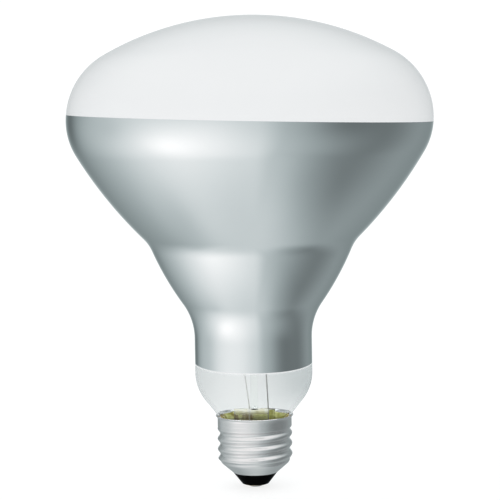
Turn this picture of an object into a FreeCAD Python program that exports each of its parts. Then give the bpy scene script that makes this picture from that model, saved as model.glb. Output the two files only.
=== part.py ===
import FreeCAD, Part

import os
from math import atan2, cos, hypot, pi, radians, sin, sqrt, tan

# Infrared heat lamp bulb: a blown reflector bulb on a medium screw cap, standing on its centre contact.
# Millimetres and degrees. Z is the lamp's axis, and the origin is the flat tip of the solder contact.

# Solder contact, brass disc and black glass insulator
contact_drop = 1.0
contact_tip_diameter = 3.2
contact_solder_diameter = 5.4
contact_diameter = 8.2
contact_thickness = 0.5
contact_proud = 0.15
contact_hole_diameter = 1.8
insulator_face_diameter = 9.2
insulator_height = 4.1
insulator_edge_radius = 0.4
insulator_dish_rise = 3.6
insulator_floor = 3.2

# Rolled aluminium shell of the screw cap
shell_wall = 0.3
shell_mouth_diameter = 15.6
shell_cone_height = 3.8
thread_root_diameter = 24.4
thread_crest_diameter = 26.2
thread_pitch = 3.629
thread_length = 12.75
thread_crest_height = 6.4
thread_run_in = 1.6
thread_run_out = 1.4
collar_diameter = 26.0
collar_length = 2.4
lip_diameter = 27.2
lip_height = 1.2
cement_depth = 2.2

# Blown envelope, from the cap's rim upwards
glass_wall = 1.0
seal_diameter = 22.0
seal_depth = 12.25
seal_blend_radius = 2.5
neck_taper = 38.4
neck_shoulder_radius = 15.7
neck_rise = 15.35
neck_diameter = 41.0
neck_length = 11.7
neck_blend_radius = 23.2
bowl_radius = 68.0
waist_rise = 15.05
waist_centre_diameter = 126.0
waist_radius = 32.5
reflector_radius = 142.0
equator_rise = 61.4
bulb_diameter = 127.0
rim_radius = 24.9
shoulder_radius = 26.1
dome_height = 35.85

# Reflecting layer inside the envelope, masked a little out of square at both edges
coating_thickness = 0.25
coating_top_rise = 0.45
coating_top_tilt = 1.9
coating_bottom_drop = 8.95
coating_bottom_tilt = -0.3

# Glass stem, exhaust tube and arbor
stem_diameter = 14.5
press_thickness = 4.5
press_edge_radius = 1.0
press_pinch_height = 3.5
press_rise = 2.05
press_height = 8.0
exhaust_diameter = 3.0
exhaust_bore_diameter = 1.8
exhaust_offset = 1.5
exhaust_socket = 1.2
exhaust_length = 9.5
arbor_diameter = 2.6
button_diameter = 4.6

# Wires, coil and supports
lead_diameter = 0.45
outer_lead_diameter = 0.25
lead_spacing = 6.65
lead_offset = 1.5
lead_seal_depth = 4.5
lead_straight = 1.2
lead_left_lean = 7.2
lead_right_lean = 2.5
lead_knee_height = 20.0
lead_bend_radius = 0.7
lead_hook_length = 1.6
filament_rise = 60.0
filament_ring_diameter = 22.0
filament_coil_diameter = 1.6
filament_bore_diameter = 1.1
filament_opening = 54.0
support_count = 3
support_diameter = 0.4
support_eye_clearance = 0.05
support_embed = 1.4

# Side solder spot on the rim
side_angle = 90.0
side_solder_diameter = 1.6
side_lead_drop = 1.8
side_lead_stub = 0.2

# Levels along the axis, stacked up from the contact's tip
insulator_z = contact_drop
cone_z = insulator_z + insulator_height
thread_z = cone_z + shell_cone_height
collar_z = thread_z + thread_length
lip_z = collar_z + collar_length
rim_z = lip_z + lip_height
neck_z = rim_z + neck_rise
neck_top_z = neck_z + neck_length
waist_z = neck_top_z + waist_rise
equator_z = waist_z + equator_rise
apex_z = equator_z + dome_height
seal_z = rim_z - seal_depth
press_z = rim_z + press_rise
filament_z = rim_z + filament_rise

vector = FreeCAD.Vector
UP = vector(0, 0, 1)
ORIGIN = vector(0, 0, 0)
FULL_TURN = 360


def at(r, z):
    """A point of a lathe profile, in the plane of X and Z."""
    return vector(r, 0, z)


def line(a, b):
    """A straight edge between two profile points."""
    return Part.LineSegment(at(*a), at(*b)).toShape()


def arc(centre, radius, start, end):
    """An arc of a profile round a centre, between the directions of two other points."""
    first = atan2(start[1] - centre[1], start[0] - centre[0])
    last = atan2(end[1] - centre[1], end[0] - centre[0])
    turn = (last - first + pi) % (2 * pi) - pi
    points = [(centre[0] + radius * cos(first + turn * t), centre[1] + radius * sin(first + turn * t))
              for t in (0, 0.5, 1)]
    return Part.Arc(*[at(*p) for p in points]).toShape()


def chain(corners):
    """Straight edges through a list of profile points."""
    return [line(a, b) for a, b in zip(corners, corners[1:])]


def turned(edges):
    """The solid turned round the axis from a closed profile."""
    face = Part.Face(Part.Wire(edges))
    return face.revolve(ORIGIN, UP, FULL_TURN)


def towards(start, end, distance):
    """The point that lies a distance from start on the way to end."""
    span = hypot(end[0] - start[0], end[1] - start[1])
    return (start[0] + (end[0] - start[0]) * distance / span,
            start[1] + (end[1] - start[1]) * distance / span)


def tangent_centre(first, reach_first, second, reach_second):
    """The centre, on the axis side, that lies at given distances from two other centres."""
    dr, dz = second[0] - first[0], second[1] - first[1]
    span = hypot(dr, dz)
    along = (reach_first ** 2 - reach_second ** 2 + span ** 2) / (2 * span)
    aside = sqrt(reach_first ** 2 - along ** 2)
    foot = (first[0] + along * dr / span, first[1] + along * dz / span)
    return min((foot[0] + aside * dz / span, foot[1] - aside * dr / span),
               (foot[0] - aside * dz / span, foot[1] + aside * dr / span))


def bent_wire(points, radius, bend):
    """A round wire along straight runs that are joined by tangent arcs."""
    edges = []
    start = points[0]
    for before, corner, after in zip(points, points[1:], points[2:]):
        back = (before - corner).normalize()
        on = (after - corner).normalize()
        half = back.getAngle(on) / 2
        setback = bend / tan(half)
        middle = corner + (back + on).normalize() * (bend / sin(half) - bend)
        edges.append(Part.LineSegment(start, corner + back * setback).toShape())
        edges.append(Part.Arc(corner + back * setback, middle, corner + on * setback).toShape())
        start = corner + on * setback
    edges.append(Part.LineSegment(start, points[-1]).toShape())
    section = Part.Circle(points[0], points[1] - points[0], radius).toShape()
    return Part.Wire(edges).makePipe(Part.Face(Part.Wire(section)))


def around(radius, angle, z):
    """A point given by its distance from the axis, its angle in degrees and its height."""
    return vector(radius * cos(radians(angle)), radius * sin(radians(angle)), z)


# Envelope: the outline is a chain of tangent arcs, and each layer is the same chain moved inwards
bulb_radius = bulb_diameter / 2
neck_radius = neck_diameter / 2
seal_radius = seal_diameter / 2
taper = radians(neck_taper)

crown_reach = bulb_radius - shoulder_radius
crown_radius = ((crown_reach ** 2 + dome_height ** 2 - shoulder_radius ** 2)
                / (2 * (dome_height - shoulder_radius)))
crown_centre = (0, apex_z - crown_radius)
shoulder_centre = (crown_reach, equator_z)
rim_centre = (bulb_radius - rim_radius, equator_z)
waist_centre = (waist_centre_diameter / 2, waist_z)
blend_centre = (neck_radius + neck_blend_radius, neck_top_z)
reflector_centre = tangent_centre(rim_centre, reflector_radius - rim_radius,
                                  waist_centre, reflector_radius + waist_radius)
bowl_centre = tangent_centre(waist_centre, bowl_radius + waist_radius,
                             blend_centre, bowl_radius + neck_blend_radius)
taper_centre = (neck_radius - neck_shoulder_radius, neck_z)
taper_top = (taper_centre[0] + neck_shoulder_radius * cos(taper), neck_z - neck_shoulder_radius * sin(taper))
seal_turn_r = seal_radius + seal_blend_radius * (1 - cos(taper))
seal_turn_z = taper_top[1] - (taper_top[0] - seal_turn_r) / tan(taper)
seal_centre = (seal_radius + seal_blend_radius, seal_turn_z - seal_blend_radius * sin(taper))


def taper_radius(z):
    """Outer radius of the glass on its straight taper into the cap."""
    return taper_top[0] - (taper_top[1] - z) * tan(taper)


def bulb_outline(inset):
    """Edges from the apex to the sealed end, and both end points, of the outline moved in by inset."""
    apex = (0, apex_z - inset)
    seal_end = (seal_radius - inset, seal_z)
    level = (bulb_radius, equator_z)
    crown_end = towards(crown_centre, shoulder_centre, crown_radius)
    rim_end = towards(reflector_centre, rim_centre, reflector_radius)
    taper_low = (seal_turn_r, seal_turn_z)
    taper_in = (-inset * cos(taper), inset * sin(taper))
    edges = [
        arc(crown_centre, crown_radius - inset, apex, crown_end),
        arc(shoulder_centre, shoulder_radius - inset, crown_end, level),
        arc(rim_centre, rim_radius - inset, level, rim_end),
        arc(reflector_centre, reflector_radius - inset, rim_centre, waist_centre),
        arc(waist_centre, waist_radius + inset, reflector_centre, bowl_centre),
        arc(bowl_centre, bowl_radius - inset, waist_centre, blend_centre),
        arc(blend_centre, neck_blend_radius + inset, bowl_centre, (neck_radius, neck_top_z)),
        line((neck_radius - inset, neck_top_z), (neck_radius - inset, neck_z)),
        arc(taper_centre, neck_shoulder_radius - inset, (neck_radius, neck_z), taper_top),
        line((taper_top[0] + taper_in[0], taper_top[1] + taper_in[1]),
             (taper_low[0] + taper_in[0], taper_low[1] + taper_in[1])),
        arc(seal_centre, seal_blend_radius + inset, taper_low, (seal_radius, seal_centre[1])),
        line((seal_radius - inset, seal_centre[1]), seal_end),
    ]
    return edges, apex, seal_end


def bulb_layer(outer_inset, inner_inset):
    """The turned layer between two insets of the bulb's outline."""
    outer, outer_apex, outer_end = bulb_outline(outer_inset)
    inner, inner_apex, inner_end = bulb_outline(inner_inset)
    return turned(outer + [line(outer_end, inner_end)] + inner[::-1] + [line(inner_apex, outer_apex)])


def bulb_body():
    """Everything inside the bulb's outer skin, for cutting what lies against it."""
    outer, apex, seal_end = bulb_outline(0)
    foot = (0, seal_z)
    return turned(outer + [line(seal_end, foot), line(foot, apex)])


glass_envelope = bulb_layer(0, glass_wall)

# Reflector coating: the inner layer between two planes that are a little out of square
top_slope = tan(radians(coating_top_tilt)) * bulb_radius
bottom_slope = tan(radians(coating_bottom_tilt)) * bulb_radius
coating_top_z = equator_z + coating_top_rise
coating_bottom_z = neck_top_z - coating_bottom_drop
slab_outline = [
    vector(-bulb_radius, -bulb_radius, coating_bottom_z - bottom_slope),
    vector(bulb_radius, -bulb_radius, coating_bottom_z + bottom_slope),
    vector(bulb_radius, -bulb_radius, coating_top_z - top_slope),
    vector(-bulb_radius, -bulb_radius, coating_top_z + top_slope),
]
slab = Part.Face(Part.makePolygon(slab_outline + slab_outline[:1])).extrude(vector(0, bulb_diameter, 0))
reflector_coating = bulb_layer(glass_wall, glass_wall + coating_thickness).common(slab)

# Screw shell: half-turn strips for the plain parts, a rolled surface for the thread, joined at their edges
root_radius = thread_root_diameter / 2
collar_radius = collar_diameter / 2
mouth_radius = shell_mouth_diameter / 2
lip_reach = (lip_diameter - collar_diameter) / 2
lip_radius = (lip_reach ** 2 + lip_height ** 2) / (2 * lip_reach)
lip_centre = (collar_radius + lip_radius, lip_z)
cone_angle = atan2(root_radius - mouth_radius, shell_cone_height)
cone_in = (-shell_wall * cos(cone_angle), shell_wall * sin(cone_angle))
THREAD_ROWS_PER_PITCH = 8
THREAD_COLUMNS = 24
JOIN_TOLERANCE = 0.001


def ease(share):
    """A smooth step from 0 to 1."""
    share = min(max(share, 0), 1)
    return share * share * (3 - 2 * share)


def thread_radius(angle, z):
    """Outer radius of the rolled thread: a wave that climbs one pitch a turn and dies out at both ends."""
    start = ease((z - thread_z) / thread_run_in)
    end = ease((collar_z - z) / thread_run_out)
    wave_depth = (thread_crest_diameter - thread_root_diameter) / 4
    middle = root_radius + wave_depth * start + (collar_radius - root_radius - wave_depth) * (1 - end)
    phase = 2 * pi * (z - thread_z - thread_crest_height) / thread_pitch - angle
    return middle + wave_depth * start * end * cos(phase)


def thread_point(angle, z, inset):
    """A point of the thread's surface, moved in by inset."""
    radius = thread_radius(angle, z) - inset
    return vector(radius * cos(angle), radius * sin(angle), z)


def thread_halves(inset):
    """The two half turns of the thread's surface, moved in by inset."""
    rows = round(thread_length / thread_pitch * THREAD_ROWS_PER_PITCH)
    heights = [thread_z + thread_length * i / rows for i in range(rows + 1)]
    angles = [2 * pi * j / THREAD_COLUMNS for j in range(THREAD_COLUMNS + 1)]
    surface = Part.BSplineSurface()
    surface.interpolate([[thread_point(angle, z, inset) for angle in angles] for z in heights])
    knots = surface.getVKnots()
    halves = []
    for first, last in ((0, THREAD_COLUMNS // 2), (THREAD_COLUMNS // 2, THREAD_COLUMNS)):
        half = surface.copy()
        half.segment(*surface.bounds()[:2], knots[first], knots[last])
        halves.append(half.toShape())
    return halves


def half_strips(edges):
    """Both half turns of the strips that profile edges sweep out."""
    strips = []
    for begin in (0, FULL_TURN / 2):
        for edge in edges:
            turned_edge = edge.copy()
            turned_edge.rotate(ORIGIN, UP, begin)
            strips.append(turned_edge.revolve(ORIGIN, UP, FULL_TURN / 2))
    return strips


lip_tip = (lip_diameter / 2, rim_z)
lip_tip_inside = towards(lip_centre, lip_tip, lip_radius + shell_wall)
mouth_inside = (mouth_radius + cone_in[0], cone_z + cone_in[1])
root_inside_radius = root_radius - shell_wall
collar_inside_radius = collar_radius - shell_wall
plain_edges = [
    line(mouth_inside, (mouth_radius, cone_z)),
    line((mouth_radius, cone_z), (root_radius, thread_z)),
    line((collar_radius, collar_z), (collar_radius, lip_z)),
    arc(lip_centre, lip_radius, (collar_radius, lip_z), lip_tip),
    line(lip_tip, lip_tip_inside),
    arc(lip_centre, lip_radius + shell_wall, lip_tip_inside, (collar_inside_radius, lip_z)),
    line((collar_inside_radius, lip_z), (collar_inside_radius, collar_z)),
    line((root_inside_radius, thread_z), mouth_inside),
]
skins = half_strips(plain_edges) + thread_halves(0) + thread_halves(shell_wall)
joined = skins[0].generalFuse(skins[1:], JOIN_TOLERANCE)[0]
screw_shell = Part.Solid(Part.makeShell(joined.Faces))
screw_shell.fix(JOIN_TOLERANCE, JOIN_TOLERANCE, JOIN_TOLERANCE)

# Insulator: black glass pressed into the cone of the shell, with a dished top and a seat for the contact
face_radius = insulator_face_diameter / 2
seat_z = insulator_z - contact_proud + contact_thickness
contact_radius = contact_diameter / 2
hole_radius = contact_hole_diameter / 2
dish_z = insulator_z + insulator_floor
dish_rim_z = dish_z + insulator_dish_rise
inside_slope = (root_inside_radius - mouth_inside[0]) / (thread_z - mouth_inside[1])
dish_rim_radius = mouth_inside[0] + (dish_rim_z - mouth_inside[1]) * inside_slope
insulator = turned(chain([
    (hole_radius, seat_z),
    (contact_radius, seat_z),
    (contact_radius, insulator_z),
    (face_radius, insulator_z),
    (mouth_radius, cone_z),
    mouth_inside,
    (dish_rim_radius, dish_rim_z),
    (hole_radius, dish_z),
    (hole_radius, seat_z),
]))
face_edges = [e for e in insulator.Edges
              if abs(e.BoundBox.ZMax - insulator_z) < JOIN_TOLERANCE
              and abs(e.BoundBox.XMax - face_radius) < JOIN_TOLERANCE]
insulator = insulator.makeFillet(insulator_edge_radius, face_edges)

# Contact disc, and the solder dome that fills its hole
plate_z = insulator_z - contact_proud
contact_plate = turned(chain([
    (hole_radius, plate_z),
    (contact_radius, plate_z),
    (contact_radius, seat_z),
    (hole_radius, seat_z),
    (hole_radius, plate_z),
]))
tip_radius = contact_tip_diameter / 2
dome_reach = contact_solder_diameter / 2 - tip_radius
dome_radius = (dome_reach ** 2 + plate_z ** 2) / (2 * plate_z)
contact_solder = turned([
    line((0, 0), (tip_radius, 0)),
    arc((tip_radius, dome_radius), dome_radius, (tip_radius, 0), (tip_radius + dome_reach, plate_z)),
    line((tip_radius + dome_reach, plate_z), (hole_radius, plate_z)),
    line((hole_radius, plate_z), (hole_radius, seat_z)),
    line((hole_radius, seat_z), (0, seat_z)),
    line((0, seat_z), (0, 0)),
])

# Lead wires: vertical in the press, leaning in the clear neck, then up to the ends of the coil
ring_radius = filament_ring_diameter / 2
half_opening = filament_opening / 2
join_z = press_z - lead_seal_depth


def inner_lead(side, lean):
    """One lead, from the middle of the press to its hook inside the end of the coil."""
    x = lead_offset + side * lead_spacing / 2
    bend_z = press_z + lead_straight
    knee = vector(x - lead_knee_height * tan(radians(lean)), 0, bend_z + lead_knee_height)
    inward = vector(side * cos(radians(half_opening)), sin(radians(half_opening)), 0)
    coil_end = around(ring_radius, side * half_opening - 90, filament_z)
    return bent_wire([
        vector(x, 0, join_z),
        vector(x, 0, bend_z),
        knee,
        coil_end - inward * lead_hook_length,
        coil_end + inward * lead_hook_length,
    ], lead_diameter / 2, lead_bend_radius)


inner_lead_left = inner_lead(-1, lead_left_lean)
inner_lead_right = inner_lead(1, lead_right_lean)

# Coil: one hollow tube of the coil's outer size, bent to an open ring round the axis
coil_disc, bore_disc = [
    Part.Face(Part.Wire(Part.Circle(at(ring_radius, filament_z), vector(0, 1, 0), diameter / 2).toShape()))
    for diameter in (filament_coil_diameter, filament_bore_diameter)
]
coil_ring = coil_disc.cut(bore_disc).Faces[0]
filament_coil = coil_ring.revolve(ORIGIN, UP, FULL_TURN - filament_opening)
filament_coil.rotate(ORIGIN, UP, half_opening - 90)

# Support wires: a straight spoke with an eye round the coil
eye_radius = (filament_coil_diameter + support_diameter) / 2 + support_eye_clearance
button_radius = button_diameter / 2
support_wires = []
for i in range(support_count):
    angle = half_opening - 90 + (FULL_TURN - filament_opening) * (i + 0.5) / support_count
    spoke_length = ring_radius - eye_radius - (button_radius - support_embed)
    out = around(1, angle, 0)
    spoke = Part.makeCylinder(support_diameter / 2, spoke_length,
                              around(button_radius - support_embed, angle, filament_z), out)
    eye = Part.makeTorus(eye_radius, support_diameter / 2,
                         around(ring_radius, angle, filament_z), out.cross(UP))
    support_wires.append(spoke.fuse(eye))

# Arbor: a glass rod on the press, with a button that is cut for the support wires
arbor_radius = arbor_diameter / 2
button_foot = sqrt(button_radius ** 2 - arbor_radius ** 2)
arbor_rod = turned([
    line((0, press_z), (arbor_radius, press_z)),
    line((arbor_radius, press_z), (arbor_radius, filament_z - button_foot)),
    Part.Arc(at(arbor_radius, filament_z - button_foot), at(button_radius, filament_z),
             at(0, filament_z + button_radius)).toShape(),
    line((0, filament_z + button_radius), (0, press_z)),
])
arbor_rod = arbor_rod.cut(Part.makeCompound(support_wires))

# Outer leads: one through the insulator to the contact, one round the seal and up to the rim
stem_radius = stem_diameter / 2
brim_z = seal_z - glass_wall
outer_radius = outer_lead_diameter / 2
right_x = lead_offset + lead_spacing / 2
left_x = lead_offset - lead_spacing / 2
turn_z = brim_z - side_lead_drop
outer_lead_centre = bent_wire([
    vector(right_x, 0, join_z),
    vector(right_x, 0, turn_z),
    vector(0, 0, dish_z + insulator_dish_rise / 2),
    vector(0, 0, plate_z / 2),
], outer_radius, lead_bend_radius)
gap_radius = (seal_radius + root_inside_radius) / 2
lip_gap_radius = (taper_radius(lip_z) + collar_inside_radius) / 2
rim_inside_radius = lip_centre[0] - sqrt((lip_radius + shell_wall) ** 2 - lip_height ** 2)
rim_gap_radius = (taper_radius(rim_z) + rim_inside_radius) / 2
stub_share = 1 + side_lead_stub / lip_height
side_end = around(lip_gap_radius + (rim_gap_radius - lip_gap_radius) * stub_share, side_angle,
                  lip_z + lip_height * stub_share)
outer_lead_side = bent_wire([
    vector(left_x, 0, join_z),
    vector(left_x, 0, seal_z + stem_radius / 2),
    around(stem_radius, side_angle, turn_z),
    around(gap_radius, side_angle, turn_z),
    around(gap_radius, side_angle, collar_z),
    around(lip_gap_radius, side_angle, lip_z),
    side_end,
], outer_radius, outer_lead_diameter)

# Stem: a flare under the sealed end of the envelope, a tube, and a press pinched out of the tube
flare_radius = seal_radius - glass_wall - stem_radius
flare_centre = (seal_radius - glass_wall, seal_z + flare_radius)
tube_z = flare_centre[1]
bore_radius = stem_radius - glass_wall
press_half = press_thickness / 2
press_foot = press_z - press_height
flare = turned([
    line((bore_radius, tube_z), (stem_radius, tube_z)),
    arc(flare_centre, flare_radius, (stem_radius, tube_z), (flare_centre[0], seal_z)),
    line((flare_centre[0], seal_z), (seal_radius, seal_z)),
    line((seal_radius, seal_z), (seal_radius, brim_z)),
    line((seal_radius, brim_z), (flare_centre[0], brim_z)),
    arc(flare_centre, flare_radius + glass_wall, (flare_centre[0], brim_z), (bore_radius, tube_z)),
])


def pinch(half_width, foot, shoulder, half_gap, top, corner):
    """A block across the stem that narrows from half_width to half_gap, with round edges along its top."""
    def seen(y, z):
        return vector(-stem_diameter, y, z)

    bow = corner * (1 - sqrt(0.5))
    flat = half_gap - corner
    edges = [Part.LineSegment(seen(-flat, top), seen(flat, top)),
             Part.LineSegment(seen(-half_width, foot), seen(half_width, foot))]
    for side in (-1, 1):
        edges += [Part.LineSegment(seen(side * half_width, foot), seen(side * half_gap, shoulder)),
                  Part.LineSegment(seen(side * half_gap, shoulder), seen(side * half_gap, top - corner)),
                  Part.Arc(seen(side * half_gap, top - corner), seen(side * (half_gap - bow), top - bow),
                           seen(side * flat, top))]
    wire = Part.Wire(Part.__sortEdges__([edge.toShape() for edge in edges]))
    return Part.Face(wire).extrude(vector(2 * stem_diameter, 0, 0))


press = Part.makeCylinder(stem_radius, press_z - tube_z, at(0, tube_z)).common(
    pinch(stem_radius, tube_z, tube_z + press_pinch_height, press_half, press_z, press_edge_radius))
hollow = Part.makeCylinder(bore_radius, press_z - tube_z, at(0, tube_z)).common(
    pinch(bore_radius, tube_z, tube_z + press_pinch_height - glass_wall, press_half - glass_wall,
          press_foot, press_half - glass_wall - outer_lead_diameter))
exhaust_top = press_foot + exhaust_socket
exhaust_radius = exhaust_diameter / 2
exhaust_foot = exhaust_top - exhaust_length
socket = Part.makeCylinder(exhaust_radius, exhaust_length, at(exhaust_offset, exhaust_foot))
wires = Part.makeCompound([inner_lead_left, inner_lead_right, outer_lead_side, outer_lead_centre])
glass_stem = flare.fuse(press.cut(hollow)).removeSplitter().cut(socket).cut(wires)

# Exhaust tube: pushed into the press and melted shut at its foot
bore = exhaust_bore_diameter / 2
exhaust_tube = turned([
    line((bore, exhaust_top), (exhaust_radius, exhaust_top)),
    line((exhaust_radius, exhaust_top), (exhaust_radius, exhaust_foot + exhaust_radius)),
    arc((0, exhaust_foot + exhaust_radius), exhaust_radius, (exhaust_radius, exhaust_foot + exhaust_radius),
        (0, exhaust_foot)),
    line((0, exhaust_foot), (0, exhaust_foot + exhaust_radius - bore)),
    arc((0, exhaust_foot + exhaust_radius), bore, (0, exhaust_foot), (bore, exhaust_foot + exhaust_radius)),
    line((bore, exhaust_foot + exhaust_radius), (bore, exhaust_top)),
])
exhaust_tube.translate(vector(exhaust_offset, 0, 0))

# Cement ring and side solder: both fill what the glass, the shell and the side wire leave
body = bulb_body()
cement_band = Part.makeCylinder(collar_inside_radius, cement_depth, at(0, lip_z - cement_depth))
base_cement = cement_band.cut(body).cut(outer_lead_side)
blob = Part.makeSphere(side_solder_diameter / 2, side_end)
side_solder = blob.cut(body).cut(screw_shell).cut(outer_lead_side)

contact_solder = contact_solder.cut(outer_lead_centre)

nodes = {
    "glass_envelope": glass_envelope,
    "reflector_coating": reflector_coating,
    "glass_stem": glass_stem,
    "exhaust_tube": exhaust_tube,
    "arbor_rod": arbor_rod,
    "inner_lead_left": inner_lead_left,
    "inner_lead_right": inner_lead_right,
    "filament_coil": filament_coil,
    "outer_lead_side": outer_lead_side,
    "outer_lead_centre": outer_lead_centre,
    "base_cement": base_cement,
    "screw_shell": screw_shell,
    "side_solder": side_solder,
    "insulator": insulator,
    "contact_plate": contact_plate,
    "contact_solder": contact_solder,
}
for i, wire in enumerate(support_wires):
    nodes[f"support_wire_{i + 1}"] = wire

os.makedirs("parts", exist_ok=True)
for name, shape in nodes.items():
    print(name, shape.ShapeType, len(shape.Solids), shape.isValid(), round(shape.Volume, 3))
    shape.exportStep(f"parts/{name}.step")
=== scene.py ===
import bpy
import numpy as np
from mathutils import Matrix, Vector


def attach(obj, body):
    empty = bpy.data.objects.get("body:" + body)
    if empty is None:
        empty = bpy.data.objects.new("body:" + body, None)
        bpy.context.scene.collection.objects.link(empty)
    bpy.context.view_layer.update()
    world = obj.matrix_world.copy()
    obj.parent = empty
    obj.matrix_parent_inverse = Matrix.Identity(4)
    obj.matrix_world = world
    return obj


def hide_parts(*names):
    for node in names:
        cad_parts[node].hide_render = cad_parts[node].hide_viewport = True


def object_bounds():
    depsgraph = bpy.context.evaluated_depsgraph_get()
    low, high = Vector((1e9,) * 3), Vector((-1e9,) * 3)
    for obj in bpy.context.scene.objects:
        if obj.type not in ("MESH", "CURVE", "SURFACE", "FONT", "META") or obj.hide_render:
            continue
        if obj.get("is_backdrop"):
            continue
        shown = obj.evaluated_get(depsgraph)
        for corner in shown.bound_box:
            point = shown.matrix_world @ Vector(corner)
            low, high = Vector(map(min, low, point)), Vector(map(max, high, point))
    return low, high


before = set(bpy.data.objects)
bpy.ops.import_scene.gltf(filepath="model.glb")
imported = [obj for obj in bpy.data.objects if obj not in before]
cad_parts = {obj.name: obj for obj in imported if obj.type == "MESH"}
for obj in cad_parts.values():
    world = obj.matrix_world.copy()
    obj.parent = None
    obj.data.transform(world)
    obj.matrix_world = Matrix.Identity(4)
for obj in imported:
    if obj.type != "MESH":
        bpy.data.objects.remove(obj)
cad_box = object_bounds()

# Insulator of black glass, poured hot into the foot of the cap so that it holds shell and contact apart.
# Its skin is fire polished, with faint ripples from the mould.


class Socket:
    """An output of a shader node: arithmetic on it adds Math nodes, and node() adds any other node."""

    def __init__(self, tree, output=None):
        self.tree = tree
        self.output = output

    def node(self, kind, settings={}, inputs={}, output=0):
        """Adds a node, sets it, gives its sockets values or links, and wraps one output."""
        made = self.tree.nodes.new(kind)
        for name, value in settings.items():
            setattr(made, name, value)
        for name, value in inputs.items():
            if isinstance(value, Socket):
                self.tree.links.new(value.output, made.inputs[name])
            else:
                made.inputs[name].default_value = value
        return Socket(self.tree, made.outputs[output] if made.outputs else None)

    def math(self, operation, *values):
        """A Math node on these values."""
        return self.node("ShaderNodeMath", {"operation": operation}, dict(enumerate(values)))

    def __add__(self, other):
        return self.math("ADD", self, other)

    def __radd__(self, other):
        return self.math("ADD", other, self)

    def __sub__(self, other):
        return self.math("SUBTRACT", self, other)

    def __rsub__(self, other):
        return self.math("SUBTRACT", other, self)

    def __mul__(self, other):
        return self.math("MULTIPLY", self, other)

    def __rmul__(self, other):
        return self.math("MULTIPLY", other, self)

    def stretched(self, x, y, z):
        """These coordinates with each axis scaled by itself."""
        return self.node("ShaderNodeMapping", {}, {"Vector": self, "Scale": (x, y, z)})

    def noise(self, scale, detail=2.0):
        """Soft noise over these coordinates, from 0 to 1, with about scale cells a metre."""
        return self.node("ShaderNodeTexNoise", {}, {"Vector": self, "Scale": scale, "Detail": detail})

    def between(self, low, high):
        """A smooth step of this value from 0 at low to 1 at high."""
        return self.node("ShaderNodeMapRange", {"interpolation_type": "SMOOTHSTEP"},
                         {"Value": self, "From Min": low, "From Max": high})

    def blend(self, first, second):
        """The colour between two others at this share, from the colour sockets of a Mix node."""
        return self.node("ShaderNodeMix", {"data_type": "RGBA"}, {0: self, 6: first, 7: second}, 2)

    def along(self, axis):
        """One of these coordinates."""
        return self.node("ShaderNodeSeparateXYZ", {}, {0: self}, axis)

    def bumped(self, depth):
        """The normal of a surface raised by this value times a depth in metres."""
        return self.node("ShaderNodeBump", {}, {"Height": self, "Distance": depth})

    def principled(self, **inputs):
        """A Principled shader whose socket names are written with low lines for spaces."""
        inputs = {name.replace("_", " "): value for name, value in inputs.items()}
        return self.node("ShaderNodeBsdfPrincipled", {}, inputs)


def finish(name, recipe):
    """A material whose surface is what recipe makes of the Object coordinates."""
    made = bpy.data.materials.new(name)
    made.use_nodes = True
    made.node_tree.nodes.clear()
    place = Socket(made.node_tree).node("ShaderNodeTexCoord", output="Object")
    place.node("ShaderNodeOutputMaterial", {}, {"Surface": recipe(place)})
    return made


def dress(material, *names):
    """Gives CAD nodes a finish."""
    for name in names:
        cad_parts[name].material_slots[0].material = material


def black_glass(place):
    """Opaque black glass with faint ripples."""
    ripple = place.noise(260)
    return place.principled(
        Base_Color=place.noise(900).blend((0.0005, 0.0005, 0.0006, 1), (0.002, 0.002, 0.0022, 1)),
        Roughness=0.15 + 0.15 * place.noise(1500, 4), Specular_IOR_Level=0.004,
        Normal=ripple.bumped(0.0002))


dress(finish("black glass", black_glass), "insulator")

# Centre contact: a stamped brass disc in the insulator's face, and the dome of solder that joins the lead.
# The solder is dull and a little lumpy where it froze, and its tones are darkened as painted shade, where
# it faces down; the disc is tarnished round it.


def contact_brass(place):
    """Brass that is duller and browner where it is tarnished."""
    tarnish = place.noise(700, 5)
    return place.principled(
        Base_Color=tarnish.blend((0.62, 0.45, 0.2, 1), (0.42, 0.28, 0.13, 1)), Metallic=1.0,
        Roughness=0.25 + 0.3 * tarnish, Normal=place.noise(3000).bumped(0.00002))


def frozen_solder(dull, bright):
    """The finish of solder that froze in lumps, between two tones."""
    def recipe(place):
        clots = place.noise(420, 5)
        return place.principled(
            Base_Color=clots.blend((*dull, 1), (*bright, 1)), Metallic=1.0,
            Roughness=0.3 + 0.25 * place.noise(1600, 3), Normal=clots.bumped(0.0005))
    return recipe


dress(finish("contact brass", contact_brass), "contact_plate")
# Painted shade: the contact's solder gets darker tones than the side solder.
dress(finish("dull solder", frozen_solder((0.36, 0.36, 0.37), (0.6, 0.6, 0.6))), "contact_solder")

# Screw shell: thin aluminium drawn to a cup and rolled to a thread that climbs one pitch a turn.
# The side lead is soldered to its flared rim at the back. Rolling leaves fine lines and a satin gloss.
mm = 0.001
shell_wall = 0.3 * mm
mouth_radius = 7.8 * mm
mouth_z = 5.1 * mm
thread_z = 8.9 * mm
collar_z = 21.65 * mm
lip_z = 24.05 * mm
rim_z = 25.25 * mm
root_radius = 12.2 * mm
crest_radius = 13.1 * mm
collar_radius = 13.0 * mm
lip_reach = 0.6 * mm
thread_pitch = 3.629 * mm
crest_height = 6.4 * mm
run_in = 1.6 * mm
run_out = 1.4 * mm
cone_round = 0.9 * mm
shell_rows = 190
lip_rows = 10
shell_columns = 256
tip_size = 1e-6 * mm


def ease(share):
    """A smooth step from 0 to 1: three times the square of the share less twice its cube."""
    share = np.clip(share, 0, 1)
    return share * share * (3 - 2 * share)


def ring_angles(columns):
    """Angles of evenly spaced columns round the axis, as one row."""
    return np.linspace(0, 2 * np.pi, columns, endpoint=False)[None, :]


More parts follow.
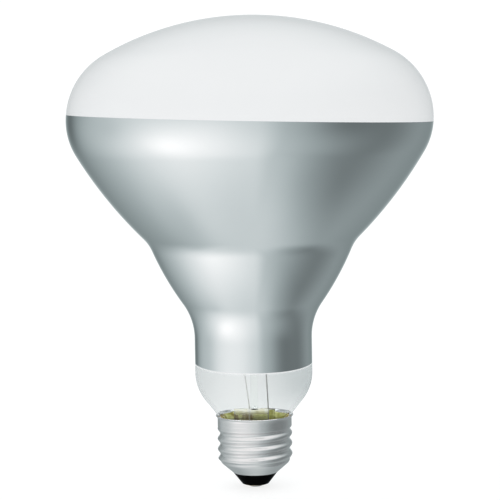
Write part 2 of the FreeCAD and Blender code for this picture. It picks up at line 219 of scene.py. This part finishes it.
def around_axis(radius, height, angle):
    """Points at distance radius from the Z axis: x is radius times the angle's cosine, y times its sine."""
    radius, height, angle = np.broadcast_arrays(radius, height, angle)
    return np.stack([radius * np.cos(angle), radius * np.sin(angle), height], axis=-1)


def skin(grid, loop=False):
    """Faces over a grid whose columns close on themselves, and whose rows do too if it is a loop.
    A row that is shrunk to one point becomes the tip of a fan. Gives points, faces and each face's row."""
    rows, columns = grid.shape[:2]
    number = np.arange(rows * columns).reshape(rows, columns)
    tips = np.ptp(grid, axis=1).max(axis=1) < tip_size
    number[tips] = number[tips, :1]
    if loop:
        number = np.vstack([number, number[:1]])
    beside = np.roll(number, -1, axis=1)
    quads = np.stack([number[:-1], number[1:], beside[1:], beside[:-1]], axis=-1).reshape(-1, 4)
    face_row = np.repeat(np.arange(len(number) - 1), columns)
    upper_tip = quads[:, 0] == quads[:, 3]
    lower_tip = quads[:, 1] == quads[:, 2]
    whole = ~(upper_tip | lower_tip)
    used, renumbered = np.unique(quads, return_inverse=True)
    quads = renumbered.reshape(-1, 4)
    faces = quads[whole].tolist()
    faces += quads[upper_tip][:, [0, 1, 2]].tolist()
    faces += quads[lower_tip][:, [0, 1, 3]].tolist()
    order = np.concatenate([face_row[whole], face_row[upper_tip], face_row[lower_tip]])
    return grid.reshape(-1, 3)[used], faces, order


def piece(name, grid, materials, replaced, loop=False, zones=None):
    """A smooth mesh over a grid, which rides on the lamp and stands for a CAD node.
    zones gives each row of faces the number of its material."""
    points, faces, face_row = skin(grid, loop)
    mesh = bpy.data.meshes.new(name)
    mesh.from_pydata(points, [], faces)
    mesh.polygons.foreach_set("use_smooth", np.ones(len(faces), bool))
    for material in materials:
        mesh.materials.append(material)
    if zones is not None:
        mesh.polygons.foreach_set("material_index", np.asarray(zones)[face_row])
    mesh.update()
    made = bpy.data.objects.new(name, mesh)
    bpy.context.scene.collection.objects.link(made)
    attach(made, "root")
    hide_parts(replaced)


def shell_radius(angle, height):
    """Outer radius: a cone up to the thread, then a wave between root and crest, then the collar.
    The wave is the cosine of a phase that grows a turn each pitch and falls a turn round the axis."""
    cone = mouth_radius + (root_radius - mouth_radius) * (height - mouth_z) / (thread_z - mouth_z)
    start = ease((height - thread_z) / run_in)
    end = ease((collar_z - height) / run_out)
    depth = (crest_radius - root_radius) / 2
    phase = 2 * np.pi * (height - thread_z - crest_height) / thread_pitch - angle
    body = root_radius + depth * start + (collar_radius - root_radius - depth) * (1 - end)
    body = body + depth * start * end * np.cos(phase)
    gap = np.clip((cone - body) / cone_round, -1, 1)
    return np.minimum(cone, body) - cone_round * (1 - np.abs(gap)) ** 2 / 4


def shell_grid(angle):
    """Up the inside with half the rows, over the rim and down the outside. The rim is an arc turned out
    from the collar."""
    lip_height = rim_z - lip_z
    lip_radius = (lip_reach ** 2 + lip_height ** 2) / (2 * lip_reach)
    turn = np.linspace(0, np.arcsin(lip_height / lip_radius), lip_rows)[:, None]
    height = np.linspace(mouth_z, lip_z, shell_rows)[:, None]
    outside = around_axis(shell_radius(angle, height), height, angle)
    inner_height = height[::2]
    inside = around_axis(shell_radius(angle, inner_height) - shell_wall, inner_height, angle)
    lip_centre = collar_radius + lip_radius
    lip_inside, lip_outside = (
        around_axis(lip_centre - reach * np.cos(turn[1:]), lip_z + reach * np.sin(turn[1:]), angle)
        for reach in (lip_radius + shell_wall, lip_radius))
    return np.concatenate([inside, lip_inside, lip_outside[::-1], outside[::-1]])


def shell_aluminium(place):
    """Satin aluminium with level lines from rolling, and smudges."""
    lines = place.stretched(1, 1, 60).noise(140, 4)
    rolled = place.stretched(1, 1, 10).noise(140)
    smudge = place.noise(110, 3)
    return place.principled(
        Base_Color=smudge.blend((0.755, 0.74, 0.74, 1), (0.825, 0.81, 0.81, 1)), Metallic=0.92,
        Roughness=0.1 + 0.06 * smudge + 0.05 * lines, Normal=(rolled + 0.12 * lines).bumped(0.00008))


piece("rolled_shell", shell_grid(ring_angles(shell_columns)), [finish("shell aluminium", shell_aluminium)],
      "screw_shell", loop=True)
dress(finish("bright solder", frozen_solder((0.58, 0.59, 0.59), (0.72, 0.73, 0.73))), "side_solder")

# Cement: a ring of fired resin and stone dust that fixes the glass in the rim of the shell.
# It is olive to tan, lumpy where it squeezed out above and below, and scorched brown in streaks; its foot,
# in the recess inside the shell, is painted dark brown as painted shade.
seal_radius = 11.0 * mm
seal_bend = 2.5 * mm
bend_z = 22.28 * mm
neck_taper = np.radians(38.4)
cement_foot = 20.9 * mm
cement_top = 24.4 * mm
cement_lump = 0.35 * mm
crown_share = 0.6
foot_waves = (3, 5, 8, 13)
top_waves = (2, 7, 9, 16)
# Height of the painted shade at the cement's foot.
painted_shade_height = 1.2 * mm
cement_clearance = 0.03 * mm
collar_run = 0.4 * mm
cement_rows = 14
crown_rows = 7
cement_columns = 192
collar_inside = collar_radius - shell_wall
thread_inside = root_radius - shell_wall


def glass_radius(height):
    """Outer radius of the glass in the cap: straight, then an arc outwards, then the cone of the neck."""
    rise = np.clip(height - bend_z, 0, seal_bend * np.sin(neck_taper))
    arc = seal_radius + seal_bend - np.sqrt(seal_bend ** 2 - rise ** 2)
    return arc + np.tan(neck_taper) * np.clip(height - bend_z - rise, 0, None)


def lumps(angle, waves):
    """A smooth uneven wave round the ring: the mean of sines of the angle, one for each number of waves."""
    return sum(np.sin(count * angle + count * count) for count in waves) / len(waves)


def cement_grid(angle):
    """Up the glass, over a rounded top, down the inside of the shell and round a lumpy foot."""
    share = np.linspace(0, 1, cement_rows)[:, None]
    foot = cement_foot + cement_lump * lumps(angle, foot_waves)
    top = cement_top + cement_lump * lumps(angle, top_waves)
    height = foot + (top - foot) * share
    inner = glass_radius(height) + cement_clearance
    outer = thread_inside + (collar_inside - thread_inside) * ease((height - collar_z) / collar_run + 1)
    outer = np.maximum(outer - cement_clearance, inner + cement_clearance)
    crown = np.linspace(0, np.pi, crown_rows)[1:-1, None]
    middle, half = (inner[-1] + outer[-1]) / 2, (outer[-1] - inner[-1]) / 2
    cap = around_axis(middle - half * np.cos(crown), top + half * np.sin(crown) * crown_share, angle)
    return np.concatenate([around_axis(inner, height, angle), cap, around_axis(outer, height, angle)[::-1]])


def fired_cement(place):
    """Grainy olive cement, scorched brown in streaks, and painted dark brown at its foot as painted shade.
    """
    grain = place.noise(380, 5)
    colour = grain.between(0.35, 0.65).blend((0.62, 0.59, 0.12, 1), (0.95, 0.94, 0.4, 1))
    streak = place.stretched(1, 1, 0.35).noise(300, 2).between(0.5, 0.62)
    # Painted shade: dark brown at the foot, in the recess between the shell's rim and the glass.
    painted_shade_foot = 1 - place.along("Z").between(cement_foot, cement_foot + painted_shade_height)
    # The mix mask carries both the scorched streaks and the painted shade at the foot.
    scorch_and_shade = place.math("MAXIMUM", 0.85 * streak, painted_shade_foot)
    return place.principled(
        Base_Color=scorch_and_shade.blend(colour, (0.26, 0.12, 0.03, 1)), Roughness=0.5 + 0.3 * grain,
        Normal=grain.bumped(0.0006))


piece("squeezed_cement", cement_grid(ring_angles(cement_columns)), [finish("fired cement", fired_cement)],
      "base_cement", loop=True)

# Stem: a flared glass tube, pinched flat while hot into a press that seals the leads and the exhaust tube.
# The arbor is a glass rod that stands on the press and ends in a button for the support wires.
press_z = 27.3 * mm
milky_depth = 2.2 * mm
milky_end = (4.2 * mm, 5.4 * mm)
least_milk = 0.1
added_milk = 0.7


def stem_glass(place):
    """Clear glass that is milky and streaked at the top of the press, up to the right lead."""
    across, up = place.along("X"), place.along("Z")
    milky_part = 1 - across.between(*milky_end)
    cloud = up.between(press_z - milky_depth, press_z) * place.noise(420, 3).between(0.1, 0.45)
    clear = place.principled(
        Base_Color=place.noise(90).blend((0.95, 0.95, 0.84, 1), (0.99, 0.99, 0.93, 1)), IOR=1.15,
        Transmission_Weight=1.0, Roughness=0.05 + 0.1 * place.noise(500),
        Normal=place.noise(200).bumped(0.0003))
    streak = place.stretched(1, 1, 0.15).noise(420)
    cloudy = place.principled(
        Base_Color=streak.between(0.35, 0.6).blend((0.86, 0.82, 0.6, 1), (0.99, 0.99, 0.9, 1)),
        Roughness=0.4)
    milk = (least_milk + added_milk * cloud) * milky_part
    return place.node("ShaderNodeMixShader", {}, {0: milk, 1: clear, 2: cloudy})


def rod_glass(place):
    """Clear drawn glass."""
    return place.principled(
        Base_Color=place.noise(90).blend((0.96, 0.98, 0.96, 1), (0.99, 1, 0.99, 1)), IOR=1.1,
        Transmission_Weight=1.0, Roughness=0.02 * place.noise(500), Normal=place.noise(200).bumped(0.0001))


dress(finish("stem glass", stem_glass), "glass_stem", "exhaust_tube")
dress(finish("rod glass", rod_glass), "arbor_rod")

# Wires: nickel leads that carry the coil, molybdenum supports with an eye round it, copper below the press.
# All are drawn, so they have fine lines along them. The two nickel leads carry painted light and shade: the
# left one is painted lighter and the right one darker.


def drawn_wire(pale, dark, rough):
    """A wire's finish: mottled between two tones of one metal, with fine drawing lines."""
    def recipe(place):
        mottle = place.noise(600, 4)
        return place.principled(
            Base_Color=mottle.blend((*pale, 1), (*dark, 1)), Metallic=1.0, Roughness=rough + 0.2 * mottle,
            Normal=place.stretched(20, 20, 1).noise(900).bumped(0.00002))
    return recipe


# Painted light on the left lead and painted shade on the right one: the same nickel in a light and a dark
# tone.
dress(finish("nickel with painted light", drawn_wire((0.9, 0.9, 0.88), (0.74, 0.74, 0.72), 0.3)), "inner_lead_left")
dress(finish("nickel with painted shade", drawn_wire((0.56, 0.55, 0.54), (0.36, 0.36, 0.35), 0.35)), "inner_lead_right")
dress(finish("support molybdenum", drawn_wire((0.45, 0.45, 0.46), (0.28, 0.28, 0.29), 0.3)),
      "support_wire_1", "support_wire_2", "support_wire_3")
dress(finish("lead copper", drawn_wire((0.75, 0.4, 0.25), (0.45, 0.22, 0.14), 0.25)),
      "outer_lead_side", "outer_lead_centre")

# Filament: one fine tungsten wire wound to a close helix, which is bent to an open ring round the arbor.
# Its two ends are hooked on the leads, and the opening of the ring faces the front.
ring_radius = 11.0 * mm
filament_z = 85.25 * mm
coil_radius = 0.8 * mm
tungsten_radius = 0.11 * mm
coil_turns = 130
steps_a_turn = 18
wire_sides = 8
ring_opening = np.radians(54)


def coil_grid():
    """A tube along a helix: the helix goes round a level circle, and the tube goes round the helix."""
    steps = np.arange(coil_turns * steps_a_turn + 1)
    share = steps / steps[-1]
    bend = ring_opening / 2 - np.pi / 2 + (2 * np.pi - ring_opening) * share
    twist = 2 * np.pi * coil_turns * share
    outwards = np.stack([np.cos(bend), np.sin(bend), 0 * bend], axis=-1)
    upwards = np.array([0, 0, 1])
    aside = np.cos(twist)[:, None] * outwards + np.sin(twist)[:, None] * upwards
    middle = ring_radius * outwards + filament_z * upwards + (coil_radius - tungsten_radius) * aside
    along = np.gradient(middle, axis=0)
    along /= np.linalg.norm(along, axis=1, keepdims=True)
    across = np.cross(along, aside)
    turn = -ring_angles(wire_sides)[..., None]
    ring = np.cos(turn) * aside[:, None] + np.sin(turn) * across[:, None]
    tube = middle[:, None] + tungsten_radius * ring
    first = np.broadcast_to(middle[0], (1, wire_sides, 3))
    last = np.broadcast_to(middle[-1], (1, wire_sides, 3))
    return np.concatenate([first, tube, last])


tungsten = finish("tungsten", drawn_wire((0.36, 0.36, 0.37), (0.2, 0.2, 0.21), 0.35))
piece("wound_filament", coil_grid(), [tungsten], "filament_coil")

# Envelope: one blown piece of soft glass, frosted inside the dome, with an aluminium film inside the body.
# Below the film the neck is clear down to the cap. From outside the film shows as metal under glossy glass.
# The inner skin of the dome has a painted glow: an emission that stands in for the light that comes through
# the frosting.
glass_wall = 1.0 * mm
equator_z = 128.75 * mm
apex_z = 164.6 * mm
waist_z = 78.0 * mm
neck_top_z = 52.75 * mm
neck_z = 40.6 * mm
seal_z = 13.0 * mm
bulb_radius = 63.5 * mm
neck_radius = 20.5 * mm
shoulder_bend = 26.1 * mm
rim_bend = 23.1 * mm
reflector_bend = 149.3 * mm
waist_bend = 14.0 * mm
waist_centre = 47.6 * mm
bowl_bend = 102.5 * mm
neck_bend = 21.1 * mm
neck_shoulder_bend = 15.7 * mm
film_top_z = 129.2 * mm
film_top_slope = np.tan(np.radians(-1.9))
film_foot_z = 42.9 * mm
film_foot_slope = np.tan(np.radians(-0.3))
film_foot_bow = 1.0 * mm
film_thickness = 0.25 * mm
film_clearance = 0.02 * mm
fringe_start = 0.7 * mm
fringe_full = 0.21 * mm
haze_share = 0.7
pale_glass = (24 * mm, 36 * mm)
# Where the painted shade on the clear glass is least: the glass greys with distance sideways from here.
least_shade_x = -6 * mm
arc_steps = 400
envelope_columns = 192
zone_rows = (64, 120, 44)
film_rows = 121


def touching(first, second, bend):
    """The circle of radius bend, centred on the axis side, that touches two others. A circle is the radius
    and height of its centre and its bend, which is negative where the glass is hollow."""
    reach = [abs(bend - circle[2]) for circle in (first, second)]
    start, end = np.array(first[:2]), np.array(second[:2])
    span = np.linalg.norm(end - start)
    way = (end - start) / span
    along = (reach[0] ** 2 - reach[1] ** 2 + span ** 2) / (2 * span)
    aside = np.sqrt(reach[0] ** 2 - along ** 2) * np.array([way[1], -way[0]])
    foot = start + along * way
    return (*min((foot + aside).tolist(), (foot - aside).tolist()), bend)


def lean(first, second):
    """The direction, as an angle above level, in which the skins of two touching circles meet."""
    step = (np.array(second[:2]) - first[:2]) / (first[2] - second[2])
    return np.arctan2(step[1], step[0])


def bulb_outline():
    """Radius, height and lean of the skin from the apex to the sealed end: arcs that touch or are joined
    straight. A point of an arc is its centre plus its bend in the direction of the lean."""
    reach, rise = bulb_radius - shoulder_bend, apex_z - equator_z
    crown_bend = (reach ** 2 + rise ** 2 - shoulder_bend ** 2) / (2 * (rise - shoulder_bend))
    crown = (0, apex_z - crown_bend, crown_bend)
    shoulder = (reach, equator_z, shoulder_bend)
    rim = (bulb_radius - rim_bend, equator_z, rim_bend)
    waist = (waist_centre, waist_z, -waist_bend)
    hollow = (neck_radius + neck_bend, neck_top_z, -neck_bend)
    reflector = touching(rim, waist, reflector_bend)
    bowl = touching(waist, hollow, bowl_bend)
    neck = (neck_radius - neck_shoulder_bend, neck_z, neck_shoulder_bend)
    taper_end = neck[0] + neck[2] * np.cos(neck_taper)
    seal_start = seal_radius + seal_bend * (1 - np.cos(neck_taper))
    drop = (taper_end - seal_start) / np.tan(neck_taper) + (neck[2] + seal_bend) * np.sin(neck_taper)
    seal = (seal_radius + seal_bend, neck_z - drop, -seal_bend)
    level, up = 0.0, np.pi / 2
    runs = [(crown, up, lean(crown, shoulder)),
            (shoulder, lean(crown, shoulder), level),
            (rim, level, lean(rim, reflector)),
            (reflector, lean(rim, reflector), lean(reflector, waist)),
            (waist, lean(reflector, waist), lean(waist, bowl)),
            (bowl, lean(waist, bowl), lean(bowl, hollow)),
            (hollow, lean(bowl, hollow), level),
            (neck, level, -neck_taper),
            (seal, -neck_taper, level)]
    tilt = [np.linspace(start, end, arc_steps) for _, start, end in runs]
    tilt = np.concatenate([*tilt, [level]])
    centre = [np.broadcast_to(circle, (arc_steps, 3)) for circle, _, _ in runs]
    centre = np.concatenate([*centre, [(seal_radius, seal_z, 0)]])
    radius = centre[:, 0] + centre[:, 2] * np.cos(tilt)
    height = centre[:, 1] + centre[:, 2] * np.sin(tilt)
    return radius, height, tilt


outline = bulb_outline()
outline_length = np.concatenate([[0], np.cumsum(np.hypot(np.diff(outline[0]), np.diff(outline[1])))])


def bulb_skin(place, angle, inset):
    """Points at a length from the apex along the outline, moved in by an inset along the lean there."""
    radius, height, tilt = (np.interp(place, outline_length, values) for values in outline)
    return around_axis(radius - inset * np.cos(tilt), height - inset * np.sin(tilt), angle)


def film_borders(angle):
    """Lengths of the film's two edges along the outline. Both lie in planes a little out of level, and the
    lower one is bowed up at the sides by the fourth power of the angle's cosine."""
    side = np.cos(angle)
    top = film_top_z + film_top_slope * bulb_radius * side
    foot = film_foot_z + film_foot_slope * neck_radius * side + film_foot_bow * side ** 4
    return [np.interp(-level, -outline[1], outline_length) for level in (top, foot)]


def envelope_grid(angle, rows):
    """Down the outer skin and up the inner one, with even rows between the two ends and the film."""
    borders = [np.zeros_like(angle), *film_borders(angle), np.full_like(angle, outline_length[-1])]
    spans = [low + (high - low) * np.linspace(0, 1, count, endpoint=False)[:, None]
             for low, high, count in zip(borders, borders[1:], rows)]
    place = np.concatenate(spans + [borders[-1]])
    return np.concatenate([bulb_skin(place, angle, 0), bulb_skin(place, angle, glass_wall)[::-1]])


def film_grid(angle, rows):
    """Down the side of the film that lies on the glass and up its inner side."""
    top, foot = film_borders(angle)
    place = top + (foot - top) * np.linspace(0, 1, rows)[:, None]
    on_glass = bulb_skin(place, angle, glass_wall + film_clearance)
    return np.concatenate([on_glass, bulb_skin(place, angle, glass_wall + film_thickness)[::-1]])


def frosted_glass(place):
    """White frosting under smooth glass, a little cloudy."""
    cloud = place.noise(45, 3)
    return place.principled(
        Base_Color=cloud.blend((0.838, 0.842, 0.852, 1), (0.867, 0.869, 0.873, 1)),
        Roughness=0.42 + 0.1 * place.noise(400), Coat_Weight=0.5, Coat_Roughness=0.04)


def frost_painted_glow(place):
    """The inner side of the frosting, with a painted glow: emission standing in for the light from outside.
    """
    return place.principled(
        Base_Color=place.noise(45).blend((0.84, 0.85, 0.85, 1), (0.9, 0.9, 0.9, 1)), Roughness=0.6,
        Emission_Color=(1, 1, 1, 1), Emission_Strength=1.3)


def mirror_film(place):
    """Bright aluminium film with faint streaks, under glass."""
    cloud = place.noise(60, 3)
    streak = place.stretched(1, 1, 0.08).noise(500, 3)
    return place.principled(
        Base_Color=cloud.blend((0.88, 0.89, 0.895, 1), (0.92, 0.93, 0.935, 1)), Metallic=1.0,
        Roughness=0.05 + 0.03 * streak, Specular_Tint=(0.78, 0.8, 0.8, 1), Coat_Weight=0.1,
        Coat_Roughness=0.02)


def clear_glass(place):
    """Clear glass with painted shade that greys it sideways from a line left of the middle, most on the
    right, and a hazy fringe below the film.
    """
    across, up = place.along("X"), place.along("Z")
    side = across * across * (1 / neck_radius ** 2)
    border = film_foot_z + film_foot_slope * across + film_foot_bow * side * side
    edge = (up - border).between(-fringe_start, -fringe_full)
    # Painted shade: the glass tint greys with distance sideways from a line left of the middle.
    painted_side_shade = place.math("ABSOLUTE", across - least_shade_x).between(0, neck_radius - least_shade_x)
    tint = (0.85 * painted_side_shade + 0.3 * place.noise(60)).blend((0.79, 0.81, 0.81, 1), (0.52, 0.56, 0.565, 1))
    glass = place.principled(
        Base_Color=up.between(*pale_glass).blend((0.79, 0.82, 0.82, 1), tint), IOR=1.04,
        Transmission_Weight=1.0, Roughness=0.02 * place.noise(90), Normal=place.noise(70).bumped(0.0002),
        Coat_Weight=0.15)
    haze = place.principled(
        Base_Color=place.noise(300).blend((0.84, 0.85, 0.86, 1), (0.9, 0.9, 0.91, 1)), Roughness=0.3)
    return place.node("ShaderNodeMixShader", {}, {0: haze_share * edge, 1: glass, 2: haze})


def inner_glass(place):
    """The inner side of the clear glass, without the tint."""
    return place.principled(
        Base_Color=place.noise(60).blend((0.97, 0.97, 0.97, 1), (1, 1, 1, 1)), IOR=1.04,
        Transmission_Weight=1.0, Roughness=0.02 * place.noise(90))


film = finish("mirror film", mirror_film)
envelope_finishes = [finish("frosted glass", frosted_glass), film, finish("clear glass", clear_glass),
                     finish("inner glass", inner_glass), finish("frost with painted glow", frost_painted_glow)]
dome_zone, film_zone, neck_zone, inner_neck_zone, inner_dome_zone = range(len(envelope_finishes))
outer_zones = np.repeat([dome_zone, film_zone, neck_zone], zone_rows)
inner_zones = np.repeat([inner_neck_zone, film_zone, inner_dome_zone], zone_rows[::-1])
piece("blown_envelope", envelope_grid(ring_angles(envelope_columns), zone_rows), envelope_finishes,
      "glass_envelope", zones=np.concatenate([outer_zones, [neck_zone], inner_zones]))
piece("mirror_layer", film_grid(ring_angles(envelope_columns), film_rows), [film],
      "reflector_coating", loop=True)

# Floor, studio light and camera. The light is one smooth sky: white overhead, a broad bright panel in front
# on the left, a dim side on the right, a bright window behind, dark gaps, and a soft glow from below.
floor_reach = 4.0
wall_bend = 1.0
wall_height = 3.0
sweep_rows = 16
floor_columns = 96


def sweep_grid(angle):
    """A round floor that turns up by a quarter circle into a wall."""
    turn = np.linspace(0, np.pi / 2, sweep_rows)
    radius = np.concatenate([[0], floor_reach + wall_bend * np.sin(turn), [floor_reach + wall_bend]])
    height = np.concatenate([[0], wall_bend * (1 - np.cos(turn)), [wall_height]])
    return around_axis(radius[::-1, None], height[::-1, None], -angle)


def pale_floor(place):
    """White paper that is lit evenly."""
    return place.principled(
        Base_Color=place.noise(2).blend((0.24, 0.24, 0.24, 1), (0.26, 0.26, 0.26, 1)), Roughness=0.7,
        Emission_Color=(1, 1, 1, 1), Emission_Strength=0.78)


floor_points, floor_faces, _ = skin(sweep_grid(ring_angles(floor_columns)))
floor_mesh = bpy.data.meshes.new("floor")
floor_mesh.from_pydata(floor_points, [], floor_faces)
floor_mesh.polygons.foreach_set("use_smooth", np.ones(len(floor_faces), bool))
floor_mesh.materials.append(finish("pale floor", pale_floor))
floor = bpy.data.objects.new("floor", floor_mesh)
bpy.context.scene.collection.objects.link(floor)
# The silver mirrors the sky in place of the floor, and the floor keeps no light from the lamp.
floor.visible_glossy = False
floor.visible_shadow = False
floor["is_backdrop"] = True

# Brightness below is as it shows in the film, which mirrors this share of it.
mirrored = 0.88
floor_glow = 0.58 / mirrored
floor_edge = np.radians((-88, -50))
dim_wall = 0.28 / mirrored
# A step is a change of brightness and the azimuths in degrees at which it starts and ends.
wall_steps = {
    "rise on the left": (0.25, -150, -87),
    "fall in front": (-0.13, 3, 24),
    "fall on the right": (-0.24, 15, 95),
    "rise behind on the right": (0.12, 94, 138),
}
# A lamp is a strength, below zero for a dark gap, its azimuth and elevation in degrees, and its sharpness.
lamps = {
    "left panel": (0.36, -45, -33, 3.9),
    "core of the left panel": (0.12, -60, -34, 30),
    "small panel in front": (0.03, -20, -4, 25),
    "gap behind on the left": (-0.13, -150, -2, 40),
    "window behind": (0.6, 180, -4, 40),
    "right panel": (0.02, 75, -35, 8),
    "gap in front on the right": (-0.11, 55, -5, 12),
    "panel behind on the left": (0.05, -135, -21, 12),
    "low gap on the left": (-0.1, -105, -61, 60),
    "low gap on the right": (-0.06, 65, -69, 60),
    "gap on the left": (-0.08, -95, -6, 25),
    "bright floor behind": (0.1, 180, -75, 12),
}
overhead = 1.07
overhead_edge = np.radians((17, 60))
cool_light = (0.86, 1, 1.02, 1)
white_light = (1, 1, 1, 1)
cool_to_white = (0.2, 1.2)


def direction(azimuth, elevation):
    """The direction at an angle to the right of the camera's side and an angle above level, in degrees."""
    azimuth, elevation = np.radians([azimuth, elevation])
    return (np.sin(azimuth) * np.cos(elevation), -np.cos(azimuth) * np.cos(elevation), np.sin(elevation))


def studio_light(sky):
    """Brightness of the surroundings in each direction: a wall that steps up and down round the horizon,
    with soft lamps on it, over a floor and under a ceiling. A lamp fades with the exponential of the cosine
    of the angle from it."""
    across, away, up = (sky.along(axis) for axis in "XYZ")
    azimuth = sky.math("ARCTAN2", across, 0 - away)
    elevation = sky.math("ARCSINE", up)
    wall = dim_wall
    for change, start, end in wall_steps.values():
        wall = wall + change / mirrored * azimuth.between(*np.radians((start, end)))
    for strength, lamp_azimuth, lamp_elevation, sharpness in lamps.values():
        facing = sky.node("ShaderNodeVectorMath", {"operation": "DOT_PRODUCT"},
                          {0: sky, 1: direction(lamp_azimuth, lamp_elevation)}, "Value")
        wall = wall + strength / mirrored * sky.math("EXPONENT", sharpness * (facing - 1))
    room = floor_glow + (wall - floor_glow) * elevation.between(*floor_edge)
    return room + (overhead - room) * elevation.between(*overhead_edge)


world = bpy.data.worlds.new("studio")
bpy.context.scene.world = world
world.use_nodes = True
world.node_tree.nodes.clear()
sky = Socket(world.node_tree).node("ShaderNodeTexCoord", output="Generated")
light = studio_light(sky)
tint = light.between(*cool_to_white).blend(cool_light, white_light)
background = sky.node("ShaderNodeBackground", {}, {"Color": tint, "Strength": light})
sky.node("ShaderNodeOutputWorld", {}, {"Surface": background})

camera_distance = 0.680
camera_height = 0.14075
camera_aside = -0.00064
camera_pitch = np.radians(4.835)
camera_roll = np.radians(0.95)
sensor = 36.0
focal_pixels = 1959.9
picture_pixels = 500

lens = bpy.data.cameras.new("camera")
lens.sensor_width = sensor
lens.lens = sensor * focal_pixels / picture_pixels
lens.clip_start = 0.01
camera = bpy.data.objects.new("camera", lens)
bpy.context.scene.collection.objects.link(camera)
camera.location = (camera_aside, -camera_distance, camera_height)
camera.rotation_mode = "ZYX"
camera.rotation_euler = (np.pi / 2 - camera_pitch, 0, -camera_roll)
bpy.context.scene.camera = camera
bpy.context.scene.view_settings.view_transform = "Standard"

boxes = {"cad": cad_box, "visual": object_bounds()}
boxes = {name: [list(corner) for corner in box] for name, box in boxes.items()}
